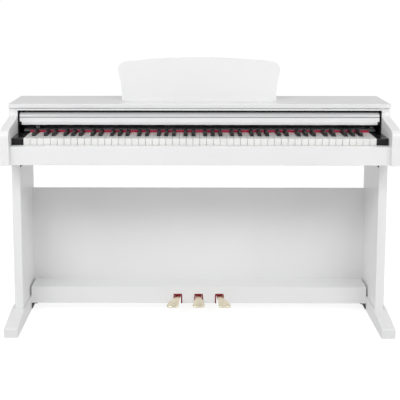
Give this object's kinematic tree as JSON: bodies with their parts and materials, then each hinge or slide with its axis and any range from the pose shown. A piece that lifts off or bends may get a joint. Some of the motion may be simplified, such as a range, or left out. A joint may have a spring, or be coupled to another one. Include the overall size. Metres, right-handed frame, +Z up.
{
  "type": "digital piano on stand",
  "caption": "White upright home digital piano with sliding key cover, full keyboard, music rest, panel stand and brass pedals.",
  "frame": {"origin": "middle of the footprint, on the floor", "axes": "+X along the keyboard towards the treble end, +Y from the player to the back, +Z up"},
  "size_m": [1.372, 0.46, 0.9613],
  "materials": {
    "white_lacquer": "smooth satin white lacquer over fibreboard",
    "cover_white": "glossy white with a bright rolled edge",
    "cover_sheet": "satin white sheet",
    "ivory_white": "polished ivory white",
    "ebony_black": "satin black",
    "black_plastic": "fine textured black",
    "panel_grey": "satin dark grey",
    "button_grey": "satin grey",
    "light_plastic": "satin pale grey",
    "red_felt": "woven red felt",
    "pedal_brass": "polished brass",
    "bare_steel": "zinc plated",
    "black_steel": "black powder coat",
    "glide_rubber": "matt rubber",
    "board_green": "green solder mask with dark chips",
    "speaker_paper": "dark cone and frame"
  },
  "bodies": {
    "cabinet": {"foot_left": "white_lacquer", "foot_right": "white_lacquer", "leg_left": "white_lacquer", "leg_right": "white_lacquer", "back_panel": "white_lacquer", "pedal_box_front": "white_lacquer", "pedal_box_top": "white_lacquer", "keybed": "white_lacquer", "key_slip": "white_lacquer", "arm_left": "white_lacquer", "arm_right": "white_lacquer", "lid": "white_lacquer", "fascia": "white_lacquer", "rear_panel": "white_lacquer", "music_rest": "white_lacquer", "music_rest_ledge": "white_lacquer", "key_block_left": "black_plastic", "key_block_right": "black_plastic", "cover_track_left": "black_plastic", "cover_track_right": "black_plastic", "key_chassis": "black_plastic", "rear_sockets": "black_plastic", "control_panel": "panel_grey", "felt_strip": "red_felt", "pedal_notch_lining": "red_felt", "pedal_frame": "bare_steel", "pedal_pin": "bare_steel", "pedal_springs": "bare_steel", "key_rod": "bare_steel", "screws": "bare_steel", "corner_brackets": "black_steel", "music_rest_brackets": "black_steel", "speaker_grilles": "black_steel", "foot_glides": "glide_rubber", "circuit_board": "board_green", "speakers": "speaker_paper"},
    "key_cover": {"cover_panel": "cover_sheet", "cover_rail": "cover_white", "cover_end_caps": "black_plastic", "cover_runners": "black_plastic"},
    "pedal_left": {"pedal_left": "pedal_brass"},
    "pedal_middle": {"pedal_middle": "pedal_brass"},
    "pedal_right": {"pedal_right": "pedal_brass"},
    "volume_slider": {"volume_slider": "light_plastic"},
    "power_button": {"power_button": "light_plastic"},
    "voice_button": {"voice_button": "button_grey"},
    "metronome_button": {"metronome_button": "button_grey"},
    "record_button": {"record_button": "button_grey"},
    "keys_c": {"keys_c": "ivory_white"},
    "keys_c_sharp": {"keys_c_sharp": "ebony_black"},
    "keys_d": {"keys_d": "ivory_white"},
    "keys_d_sharp": {"keys_d_sharp": "ebony_black"},
    "keys_e": {"keys_e": "ivory_white"},
    "keys_f": {"keys_f": "ivory_white"},
    "keys_f_sharp": {"keys_f_sharp": "ebony_black"},
    "keys_g": {"keys_g": "ivory_white"},
    "keys_g_sharp": {"keys_g_sharp": "ebony_black"},
    "keys_a": {"keys_a": "ivory_white"},
    "keys_a_sharp": {"keys_a_sharp": "ebony_black"},
    "keys_b": {"keys_b": "ivory_white"}
  },
  "joints": [
    {"name": "cover_slide", "type": "slide", "parent": "cabinet", "child": "key_cover", "axis": [0, -0.991, -0.134], "range_m": [0, 0.17]},
    {"name": "pedal_left_press", "type": "hinge", "parent": "cabinet", "child": "pedal_left", "pos_m": [-0.079, 0.15, 0.058], "axis": [1, 0, 0], "range_deg": [0, 5], "stiffness_Nm_per_rad": 10, "springref_deg": -17.19},
    {"name": "pedal_middle_press", "type": "hinge", "parent": "cabinet", "child": "pedal_middle", "pos_m": [0, 0.15, 0.058], "axis": [1, 0, 0], "range_deg": [0, 5], "stiffness_Nm_per_rad": 10, "springref_deg": -17.19},
    {"name": "pedal_right_press", "type": "hinge", "parent": "cabinet", "child": "pedal_right", "pos_m": [0.079, 0.15, 0.058], "axis": [1, 0, 0], "range_deg": [0, 5], "stiffness_Nm_per_rad": 10, "springref_deg": -17.19},
    {"name": "volume_slide", "type": "slide", "parent": "cabinet", "child": "volume_slider", "axis": [1, 0, 0], "range_m": [0, 0.028]},
    {"name": "power_press", "type": "slide", "parent": "cabinet", "child": "power_button", "axis": [0, 0.342, -0.9397], "range_m": [0, 0.0012], "stiffness_N_per_m": 400, "springref_m": -0.001},
    {"name": "voice_press", "type": "slide", "parent": "cabinet", "child": "voice_button", "axis": [0, 0.342, -0.9397], "range_m": [0, 0.0012], "stiffness_N_per_m": 400, "springref_m": -0.001},
    {"name": "metronome_press", "type": "slide", "parent": "cabinet", "child": "metronome_button", "axis": [0, 0.342, -0.9397], "range_m": [0, 0.0012], "stiffness_N_per_m": 400, "springref_m": -0.001},
    {"name": "record_press", "type": "slide", "parent": "cabinet", "child": "record_button", "axis": [0, 0.342, -0.9397], "range_m": [0, 0.0012], "stiffness_N_per_m": 400, "springref_m": -0.001},
    {"name": "keys_c_press", "type": "hinge", "parent": "cabinet", "child": "keys_c", "pos_m": [0, 0.045, 0.68], "axis": [1, 0, 0], "range_deg": [0, 2.6], "stiffness_Nm_per_rad": 12, "springref_deg": -8.59},
    {"name": "keys_c_sharp_press", "type": "hinge", "parent": "cabinet", "child": "keys_c_sharp", "pos_m": [0, 0.045, 0.68], "axis": [1, 0, 0], "range_deg": [0, 2.6], "stiffness_Nm_per_rad": 12, "springref_deg": -8.59},
    {"name": "keys_d_press", "type": "hinge", "parent": "cabinet", "child": "keys_d", "pos_m": [0, 0.045, 0.68], "axis": [1, 0, 0], "range_deg": [0, 2.6], "stiffness_Nm_per_rad": 12, "springref_deg": -8.59},
    {"name": "keys_d_sharp_press", "type": "hinge", "parent": "cabinet", "child": "keys_d_sharp", "pos_m": [0, 0.045, 0.68], "axis": [1, 0, 0], "range_deg": [0, 2.6], "stiffness_Nm_per_rad": 12, "springref_deg": -8.59},
    {"name": "keys_e_press", "type": "hinge", "parent": "cabinet", "child": "keys_e", "pos_m": [0, 0.045, 0.68], "axis": [1, 0, 0], "range_deg": [0, 2.6], "stiffness_Nm_per_rad": 12, "springref_deg": -8.59},
    {"name": "keys_f_press", "type": "hinge", "parent": "cabinet", "child": "keys_f", "pos_m": [0, 0.045, 0.68], "axis": [1, 0, 0], "range_deg": [0, 2.6], "stiffness_Nm_per_rad": 12, "springref_deg": -8.59},
    {"name": "keys_f_sharp_press", "type": "hinge", "parent": "cabinet", "child": "keys_f_sharp", "pos_m": [0, 0.045, 0.68], "axis": [1, 0, 0], "range_deg": [0, 2.6], "stiffness_Nm_per_rad": 12, "springref_deg": -8.59},
    {"name": "keys_g_press", "type": "hinge", "parent": "cabinet", "child": "keys_g", "pos_m": [0, 0.045, 0.68], "axis": [1, 0, 0], "range_deg": [0, 2.6], "stiffness_Nm_per_rad": 12, "springref_deg": -8.59},
    {"name": "keys_g_sharp_press", "type": "hinge", "parent": "cabinet", "child": "keys_g_sharp", "pos_m": [0, 0.045, 0.68], "axis": [1, 0, 0], "range_deg": [0, 2.6], "stiffness_Nm_per_rad": 12, "springref_deg": -8.59},
    {"name": "keys_a_press", "type": "hinge", "parent": "cabinet", "child": "keys_a", "pos_m": [0, 0.045, 0.68], "axis": [1, 0, 0], "range_deg": [0, 2.6], "stiffness_Nm_per_rad": 12, "springref_deg": -8.59},
    {"name": "keys_a_sharp_press", "type": "hinge", "parent": "cabinet", "child": "keys_a_sharp", "pos_m": [0, 0.045, 0.68], "axis": [1, 0, 0], "range_deg": [0, 2.6], "stiffness_Nm_per_rad": 12, "springref_deg": -8.59},
    {"name": "keys_b_press", "type": "hinge", "parent": "cabinet", "child": "keys_b", "pos_m": [0, 0.045, 0.68], "axis": [1, 0, 0], "range_deg": [0, 2.6], "stiffness_Nm_per_rad": 12, "springref_deg": -8.59}
  ]
}
